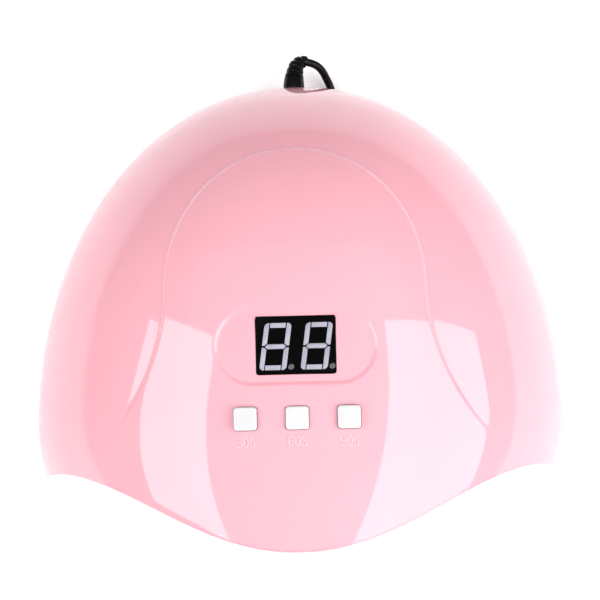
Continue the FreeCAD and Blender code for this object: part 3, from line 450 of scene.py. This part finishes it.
HALF, WIDEST, REAR, FRONT = 85.0, -31.7, 111.8, 66.0
CROWN, BASE, FALL = -0.3, -6.0, 0.0026
RIM = 3.6
WALL = 2.4
LENGTH = WIDEST + REAR - CROWN
SHELL_TOP, SHELL_POWER = 68.6, 2.3
PANEL_TOP, PANEL_POWER = 70.0, 2.2
RECESS_TOP = 69.2
LIP_FRONT, LIP_SWEEP, LIP_HALF = -80.1, 30.7, 82.5
PANEL_HALF, PANEL_DEEP, PANEL_Y = 39.2, 44.6, -1.3
FLARE_X, FLARE_RADIUS = 99.2, 60.0
RECESS_Y, RECESS_HALF, RECESS_RADIUS = -20.5, 12.5, 11.3
PANEL_STEP, RECESS_STEP = 1.5, 1.8
MOAT_DEPTH = 0.3


def half_width(y, inset=0.0):
    """Half the housing's width at each Y: one half-ellipse behind the widest place, one in front."""
    reach = np.where(y > WIDEST, REAR - inset, FRONT)
    return (HALF - inset) * np.sqrt(np.clip(1 - ((y - WIDEST) / reach) ** 2, 0, None))


def dome(x, y, top, power, inset=0.0):
    """Height of an arched surface above a point in plan."""
    offset = y - CROWN
    full = top - BASE
    behind = full * np.sqrt(np.clip(1 - (offset / (LENGTH - inset)) ** 2, 0, None))
    rise = np.where(offset < 0, full - FALL * offset ** 2, behind)
    share = np.minimum(1.0, np.abs(x) / np.maximum(half_width(y, inset), 1e-6))
    return BASE + rise * (1 - share ** power) ** (1 / power)


def lip_y(x):
    """The front lip seen from above: a bell that sweeps forward from both front corners."""
    share = np.minimum(1.0, np.abs(x) / LIP_HALF)
    bell = (1 - np.cos(math.pi * share ** 1.05)) / 2
    return LIP_FRONT + LIP_SWEEP * (0.81 * bell + 0.19 * share ** 2)


def smooth(value):
    """0 to 1, with a soft start and end."""
    value = np.clip(value, 0, 1)
    return value * value * (3 - 2 * value)


def inside_panel(x, y):
    """Distance inside the raised panel's outline, in millimetres; negative outside it."""
    x = np.abs(x)
    y = y - PANEL_Y
    level = np.sqrt((x / PANEL_HALF) ** 2 + (y / PANEL_DEEP) ** 2)
    slope = np.sqrt((x / PANEL_HALF ** 2) ** 2 + (y / PANEL_DEEP ** 2) ** 2) / np.maximum(level, 1e-9)
    cap = (1 - level) / np.maximum(slope, 1e-9)
    flare = np.hypot(x - FLARE_X, y) - FLARE_RADIUS
    return np.where(y > 0, cap, flare)


def inside_recess(x, y):
    """Distance inside the racetrack recess round the display."""
    return RECESS_RADIUS - np.hypot(np.maximum(np.abs(x) - RECESS_HALF, 0), y - RECESS_Y)


def outer_height(x, y):
    """The housing's outside, with the panel's soft step and the recess's soft edge."""
    base = dome(x, y, SHELL_TOP, SHELL_POWER)
    panel = dome(x, y, PANEL_TOP, PANEL_POWER)
    inward = inside_panel(x, y)
    step = smooth(inward / PANEL_STEP + 0.5)
    moat = MOAT_DEPTH * smooth((y + 48.0) / 14.0) * np.exp(np.minimum(inward, 0) / 4.0)
    height = base + step * np.maximum(0, panel - base) - (1 - step) * moat
    recess_floor = dome(x, y, RECESS_TOP, PANEL_POWER)
    within = smooth(inside_recess(x, y) / RECESS_STEP + 0.5)
    return height + within * np.minimum(0, recess_floor - height)


def inner_height(x, y):
    """The housing's inside, a wall's thickness in."""
    return dome(x, y, SHELL_TOP - WALL, SHELL_POWER, WALL)


def reach_along(test, cos, sin, low, high):
    """The distance from the recess's centre at which a test stops holding, for each direction."""
    low, high = np.full_like(cos, low), np.full_like(cos, high)
    for _ in range(44):
        middle = (low + high) / 2
        holds = test(middle * cos, RECESS_Y + middle * sin)
        low, high = np.where(holds, middle, low), np.where(holds, high, middle)
    return low


def outside_test(x, y):
    """Whether a point in plan is under the housing's outside."""
    return (dome(x, y, SHELL_TOP, SHELL_POWER) > RIM) & (y > lip_y(x)) & (np.abs(y - WIDEST) < REAR)


def inside_test(x, y):
    """Whether a point in plan is under the housing's inside."""
    return (inner_height(x, y) > RIM) & (y > lip_y(x)) & (np.abs(y - WIDEST) < REAR - WALL)


def rim_reach(test, cos, sin):
    """How far a surface goes in each direction."""
    return reach_along(test, cos, sin, 20.0, 130.0)


def corner_angle():
    """The direction of the front corner, where the lip meets the rim."""
    angles = np.radians(np.linspace(-60, 20, 4001))
    reach = rim_reach(outside_test, np.cos(angles), np.sin(angles))
    x, y = reach * np.cos(angles), RECESS_Y + reach * np.sin(angles)
    on_lip = np.abs(y - lip_y(x)) < 1e-3
    return angles[np.max(np.nonzero(on_lip))]


WINDOW_HALF, WINDOW_DEEP, WINDOW_POWER = 11.9, 8.6, 26
WINDOW_BEVEL = 0.15
EDGE_ROUND = 0.65
RECESS_BAND, PANEL_BAND = 1.1, 1.0


def directions(behind=560, ahead=360):
    """Cosines and sines of directions from the recess's centre, with one at each front corner."""
    corner = corner_angle()
    angles = np.concatenate([
        np.linspace(corner, math.pi - corner, behind, endpoint=False),
        np.linspace(math.pi - corner, 2 * math.pi + corner, ahead, endpoint=False)])
    return np.cos(angles), np.sin(angles)


def layer_at(reach, cos, sin, height):
    """A ring of points on a surface, at a reach in each direction."""
    x, y = reach * cos, RECESS_Y + reach * sin
    return np.stack([x, y, height(x, y)], axis=1)


def spaced(start, end, count):
    """Reaches from the start up to the last before the end."""
    return [start + (end - start) * (i / count) for i in range(count)]


def skirt_reaches(cos, sin, start, end, count=110, samples=700):
    """Reaches that are evenly spaced along the surface, which is steep near the rim."""
    fractions = np.linspace(0, 1, samples)[:, None]
    outward = start + (end - start) * (1 - (1 - fractions) ** 2)
    climb = outer_height(outward * cos, RECESS_Y + outward * sin)
    lengths = np.hypot(np.diff(outward, axis=0), np.diff(climb, axis=0))
    travelled = np.concatenate([np.zeros((1, len(cos))), np.cumsum(lengths, axis=0)])
    reaches = []
    for i in range(count):
        wanted = travelled[-1] * i / count
        reaches.append(np.array([np.interp(wanted[k], travelled[:, k], outward[:, k])
                                 for k in range(len(cos))]))
    return reaches


def top_layers(cos, sin, window, edge):
    """The outside from the window to the rim, in finer rings where the surface steps."""
    recess = reach_along(lambda x, y: inside_recess(x, y) > 0, cos, sin, 1.0, 60.0)
    panel = rim_reach(lambda x, y: inside_panel(x, y) > 0, cos, sin)
    panel = np.minimum(panel, 0.8 * edge)
    reaches = spaced(window + WINDOW_BEVEL, recess - RECESS_BAND, 10)
    reaches += spaced(recess - RECESS_BAND, recess + RECESS_BAND, 12)
    reaches += spaced(recess + RECESS_BAND, panel - PANEL_BAND, 34)
    reaches += spaced(panel - PANEL_BAND, panel + PANEL_BAND, 12)
    reaches += skirt_reaches(cos, sin, panel + PANEL_BAND, edge - 0.02)
    return [layer_at(reach, cos, sin, outer_height) for reach in reaches]


def bottom_edge(reach, cos, sin, height):
    """A surface's edge: on the surface along the lip, and flat round the rim."""
    edge = layer_at(reach, cos, sin, height)
    on_lip = np.abs(edge[:, 1] - lip_y(edge[:, 0])) < 0.05
    edge[~on_lip, 2] = RIM
    edge[:, 2] = np.maximum(edge[:, 2], RIM)
    return edge


def towards(start, end, distance):
    """Points at a distance from each start, towards its end."""
    step = end - start
    step /= np.maximum(np.linalg.norm(step, axis=1, keepdims=True), 1e-6)
    return start + step * distance


def edge_layers(last, rim, inner):
    """The rounded edge, and the flat across the wall to the inside."""
    start, end = towards(rim, last, EDGE_ROUND), towards(rim, inner, EDGE_ROUND)
    layers = []
    for i in range(7):
        t = i / 6
        layers.append(start * (1 - t) ** 2 + rim * 2 * t * (1 - t) + end * t ** 2)
    return layers + [(rim + inner) / 2, inner]


def inside_layers(cos, sin, window, under, count=46):
    """The inside, from its edge back to the window."""
    layers = []
    for i in range(1, count + 1):
        eased = 1 - math.cos(i / count * math.pi / 2)
        layer = layer_at(under - (under - window - WINDOW_BEVEL) * eased, cos, sin, inner_height)
        layer[:, 2] = np.maximum(layer[:, 2], RIM)
        layers.append(layer)
    return layers


def window_layers(cos, sin, top, bottom):
    """The window's wall, from just above the inside to the bevel under the top's first ring."""
    bevel = top - WINDOW_BEVEL * np.stack([cos, sin, np.ones_like(cos)], axis=1)
    foot = bevel.copy()
    foot[:, 2] = bottom[:, 2] + 0.1
    return [foot, bevel]


def housing_mesh():
    """One closed skin: out over the top from the display window, round the rim, back inside."""
    cos, sin = directions()
    edge = rim_reach(outside_test, cos, sin)
    under = rim_reach(inside_test, cos, sin)
    window = (np.abs(cos / WINDOW_HALF) ** WINDOW_POWER
              + np.abs(sin / WINDOW_DEEP) ** WINDOW_POWER) ** (-1 / WINDOW_POWER)
    layers = top_layers(cos, sin, window, edge)
    rim = bottom_edge(edge, cos, sin, outer_height)
    inner = bottom_edge(under, cos, sin, inner_height)
    layers[-1:] = edge_layers(layers[-1], rim, inner)
    layers += inside_layers(cos, sin, window, under)
    layers += window_layers(cos, sin, layers[0], layers[-1])
    faces = loft_faces(len(layers), len(cos), closed=True)
    return mesh_from("housing", np.concatenate(layers), faces, 180)


FACE_LEAN = math.radians(9.1)
FACE_Y, FACE_Z = -31.3, 67.2


def face(u, v, w):
    """A point on the leaning control plane: U right, V up the slope, W outwards."""
    return Vector((u, FACE_Y + v * math.cos(FACE_LEAN) - w * math.sin(FACE_LEAN),
                   FACE_Z + v * math.sin(FACE_LEAN) + w * math.cos(FACE_LEAN)))


def rounded_square(half, corner, count, depth=None):
    """Points round a rectangle with round corners, in its own plane; a square if no depth is given."""
    depth = half if depth is None else depth
    points = []
    per = count // 4
    for quarter, (sx, sy) in enumerate(((1, 1), (-1, 1), (-1, -1), (1, -1))):
        for i in range(per):
            angle = math.pi / 2 * (quarter + i / (per - 1))
            points.append((sx * (half - corner) + corner * math.cos(angle),
                           sy * (depth - corner) + corner * math.sin(angle)))
    return points


KEYS = {"30s": -15.3, "60s": 0.0, "90s": 15.3}
KEY_ROW = -10.7
KEY_TOP = 1.2
KEY_OPENING = 3.6


def face_loft(name, u, v, stations, count=64):
    """A closed body on the control plane from (half, corner, w) or (half, corner, w, depth) outlines."""
    points = []
    for half, corner, w, *depth in stations:
        outline = rounded_square(half, corner, count, depth[0] if depth else None)
        points += [face(u + a, v + b, w) for a, b in outline]
    return mesh_from(name, points, loft_faces(len(stations), count))


def housing():
    """The housing, with a square opening cut for each key."""
    shell = add_piece("housing", housing_mesh(), "outer_shell", replaces=["outer_shell"], slot="pink_shell")
    for u in KEYS.values():
        stations = [(KEY_OPENING, 1.15, -8.0), (KEY_OPENING, 1.15, 6.0)]
        cutter_mesh = face_loft("key_opening", u, KEY_ROW, stations)
        cutter = bpy.data.objects.new("key_opening", cutter_mesh)
        bpy.context.scene.collection.objects.link(cutter)
        cut = shell.modifiers.new("opening", "BOOLEAN")
        cut.operation = "DIFFERENCE"
        cut.solver = "EXACT"
        cut.object = cutter
        ready = evaluated_mesh(shell)
        shell.modifiers.clear()
        shell.data = ready
        bpy.data.objects.remove(cutter)
    finish_mesh(shell.data, 40)


housing()


# ---------------------------------------------------------------- keys, marks and display

def key_cap(name, u):
    """A pillowed square cap on its flange."""
    stations = [(4.5, 0.5, -6.6), (4.6, 0.6, -6.5), (4.6, 0.6, -6.0), (4.5, 0.5, -5.9),
                (3.5, 1.0, -5.85), (3.45, 1.0, -5.7), (3.45, 1.0, KEY_TOP - 0.65)]
    for i in range(1, 8):
        angle = math.pi / 2 * i / 7
        inward = 0.6 * (1 - math.cos(angle))
        stations.append((3.45 - inward, 1.0 - 0.5 * inward, KEY_TOP - 0.65 + 0.6 * math.sin(angle)))
    stations += [(2.4, 0.6, KEY_TOP - 0.02), (1.8, 0.5, KEY_TOP), (1.0, 0.3, KEY_TOP + 0.01),
                 (0.3, 0.1, KEY_TOP + 0.015)]
    add_piece("key_cap_" + name, face_loft("key_cap_" + name, u, KEY_ROW, stations), "key_white",
              body="key_" + name, replaces=["button_" + name], slot="key_white")


for seconds, u in KEYS.items():
    key_cap(seconds, u)

ROUND_GLYPH = [(0.25 + 0.25 * math.copysign(abs(math.cos(a)) ** 0.8, math.cos(a)),
                0.5 + 0.5 * math.copysign(abs(math.sin(a)) ** 0.8, math.sin(a)))
               for a in (math.pi * (i + 0.5) / 8 for i in range(16))]
SIX = [(0.47, 0.84), (0.44, 1.0), (0.06, 1.04), (0.0, 0.72), (0.0, 0.28), (0.02, -0.03), (0.48, -0.03),
       (0.5, 0.25), (0.48, 0.57), (0.08, 0.57), (0.02, 0.4)]
GLYPHS = {
    "0": ROUND_GLYPH,
    "3": [(0.02, 0.84), (0.06, 1.03), (0.47, 1.03), (0.5, 0.78), (0.48, 0.54), (0.18, 0.54), (0.18, 0.54),
          (0.5, 0.5), (0.52, 0.25), (0.47, -0.03), (0.04, -0.03), (0.0, 0.17)],
    "6": SIX,
    "9": [(0.5 - x, 1.0 - y) for x, y in SIX],
    "S": [(0.48, 0.83), (0.44, 1.03), (0.06, 1.03), (0.0, 0.75), (0.06, 0.56), (0.44, 0.44), (0.5, 0.25),
          (0.45, -0.03), (0.05, -0.03), (0.0, 0.17)],
}


def key_mark(text, u):
    """The seconds of a key, raised from the housing below it, in a lighter pink that is a painted
    highlight.
    """
    tall, advance, row = 2.75, 1.95, -48.4
    curve = bpy.data.curves.new("mark_" + text, "CURVE")
    curve.dimensions = "3D"
    curve.bevel_depth = 0.24 * MM
    curve.bevel_resolution = 4
    curve.resolution_u = 6
    for i, letter in enumerate(text):
        glyph = GLYPHS[letter]
        spline = curve.splines.new("NURBS")
        spline.points.add(len(glyph) - 1)
        for point, (a, b) in zip(spline.points, glyph):
            x = u + (i - 1) * advance + (a - 0.25) * tall
            y = row + (b - 0.5) * tall
            point.co = (x * MM, y * MM, (float(outer_height(x, y)) + 0.02) * MM, 1.0)
        spline.order_u = 3
        spline.use_cyclic_u = letter == "0"
        spline.use_endpoint_u = letter != "0"
    obj = bpy.data.objects.new("mark_" + text, curve)
    bpy.context.scene.collection.objects.link(obj)
    mesh = evaluated_mesh(obj)
    bpy.data.objects.remove(obj)
    finish_mesh(mesh, 60)
    # The marks take the lighter pink, a painted highlight, not the housing's own colour.
    add_piece("mark_" + text, mesh, "painted_highlight_pink", slot="pink_shell")


for seconds, u in KEYS.items():
    key_mark(seconds.upper(), u)


DISPLAY_V = (RECESS_Y - FACE_Y) / math.cos(FACE_LEAN)
DISPLAY_TOP = -1.3


def display_body():
    """The display's black block, with a fine bevel round its face."""
    stations = [(11.5, 0.2, -9.7, 8.3), (11.7, 0.3, -9.5, 8.5), (11.7, 0.3, DISPLAY_TOP - 0.15, 8.5),
                (11.66, 0.3, DISPLAY_TOP - 0.05, 8.46), (11.55, 0.3, DISPLAY_TOP, 8.35)]
    add_piece("display_body", face_loft("display_body", 0, DISPLAY_V, stations), "display_black",
              replaces=["display_housing"], slot="display_black")


def arc(x, y, radius, start, end, count=8):
    """Points on an arc, angles in degrees."""
    angles = [math.radians(start + (end - start) * i / count) for i in range(count + 1)]
    return [(x + radius * math.cos(a), y + radius * math.sin(a)) for a in angles]


def digit_outlines():
    """Seven bars, unslanted, centred on the digit."""
    half, tall, bar, gap = 4.0, 6.95, 1.42, 0.3
    inner = half - bar - gap
    flat = [(-inner, tall - bar), (inner, tall - bar), (inner, tall), (-inner, tall)]
    tip = half - bar * 0.62
    middle = [(-tip, 0), (-tip + bar / 2, -bar / 2), (tip - bar / 2, -bar / 2), (tip, 0),
              (tip - bar / 2, bar / 2), (-tip + bar / 2, bar / 2)]
    upright = [(half, 0.28), (half, tall - 1.2)] + arc(half - 1.2, tall - 1.2, 1.2, 0, 90)
    upright += [(half - bar, tall), (half - bar, 0.95), (half - bar * 0.5, 0.28)]
    bars = [flat, [(x, -y) for x, y in flat], middle]
    for sx in (1, -1):
        for sy in (1, -1):
            bars.append([(sx * x, sy * y) for x, y in upright])
    return bars


def plate(points_2d, u, v, slant):
    """Outline, placed on the display's face, as bottom and top rings with a soft top edge."""
    middle = Vector((sum(p[0] for p in points_2d), sum(p[1] for p in points_2d))) / len(points_2d)
    rings = []
    for inset, w in ((0.0, DISPLAY_TOP - 0.3), (0.0, DISPLAY_TOP + 0.03), (0.06, DISPLAY_TOP + 0.07)):
        ring = []
        for x, y in points_2d:
            off = Vector((x, y)) - middle
            x, y = middle + off * (1 - inset / max(off.length, 0.1))
            ring.append(face(u + x + y * slant, v + y, w))
        rings.append(ring)
    return rings


DIGIT_PITCH = 12.2


def display_digits():
    """Two slanted digits, each of seven bars and a point."""
    slant = math.tan(math.radians(8.0))
    point = arc(4.52 + 0.85, -6.04, 0.85, 0, 345, 23)
    for name, finish, shapes in (("digit_bars", "display_segment", digit_outlines()),
                                 ("digit_points", "display_point", [point])):
        points, faces = [], []
        for digit in (-0.5, 0.5):
            for shape in shapes:
                rings = plate(shape, digit * DIGIT_PITCH + 0.1, DISPLAY_V - 0.5, slant)
                start, count = len(points), len(shape)
                points += [p for ring in rings for p in ring]
                faces += [tuple(i + start for i in f) for f in loft_faces(3, count)]
        add_piece(name, mesh_from(name, points, faces, 50), finish,
                  replaces=["display_segments"] if name == "digit_bars" else [], slot="display_segment")


display_body()
display_digits()


# ---------------------------------------------------------------- floor and light

def floor():
    """A plain white table top that runs out of sight."""
    mesh = bpy.data.meshes.new("table")
    size, low = 12.0, -0.0001
    mesh.from_pydata([(-size, -size, low), (size, -size, low), (size, size, low), (-size, size, low)], [],
                     [(0, 1, 2, 3)])
    graph = Graph("table_white")
    graph.set("Base Color", (0.95, 0.95, 0.95))
    graph.set("Roughness", 0.9)
    graph.set("Specular IOR Level", 0.1)
    graph.set("Emission Color", (1.0, 1.0, 1.0))
    graph.set("Emission Strength", 0.25)
    mesh.materials.append(graph.material)
    obj = bpy.data.objects.new("table", mesh)
    bpy.context.scene.collection.objects.link(obj)


def soft_light(name, middle, wide, tall, upward, radiance):
    """A rectangular soft light that faces the lamp."""
    data = bpy.data.lights.new(name, "AREA")
    data.shape = "RECTANGLE"
    data.size, data.size_y = wide, tall
    data.energy = radiance * math.pi * wide * tall
    obj = bpy.data.objects.new(name, data)
    bpy.context.scene.collection.objects.link(obj)
    back = Vector(middle).normalized()
    across = Vector(upward).cross(back).normalized()
    turn = Matrix((across, back.cross(across), back)).transposed()
    obj.matrix_world = Matrix.Translation(Vector(middle) + Vector((0, 0, 0.05))) @ turn.to_4x4()
    obj.visible_camera = False


def studio():
    """Two softboxes in front, a broad light overhead and a pale grey surround."""
    soft_light("left_softbox", (-0.692, -0.285, 0.665), 0.90, 0.51, (0.647, -0.344, 0.672), 4.0)
    soft_light("right_softbox", (0.732, -0.314, 0.593), 0.99, 0.80, (-0.612, -0.118, 0.79), 3.9)
    soft_light("overhead", (0.0, -0.25, 1.3), 2.3, 2.3, (0, 1, 0), 0.40)
    world = bpy.data.worlds.new("studio")
    bpy.context.scene.world = world
    world.use_nodes = True
    nodes, links = world.node_tree.nodes, world.node_tree.links
    place = nodes.new("ShaderNodeTexCoord")
    split = nodes.new("ShaderNodeSeparateXYZ")
    ramp = nodes.new("ShaderNodeValToRGB")
    links.new(place.outputs["Generated"], split.inputs["Vector"])
    links.new(split.outputs["Z"], ramp.inputs["Fac"])
    stops = [(0.0, 0.30), (0.3, 0.28), (0.6, 0.40)]
    while len(ramp.color_ramp.elements) < len(stops):
        ramp.color_ramp.elements.new(0.5)
    for element, (position, level) in zip(ramp.color_ramp.elements, stops):
        element.position = position
        element.color = (level, level, level, 1.0)
    links.new(ramp.outputs["Color"], nodes["Background"].inputs["Color"])
    bpy.context.scene.view_settings.view_transform = "Standard"


floor()
studio()
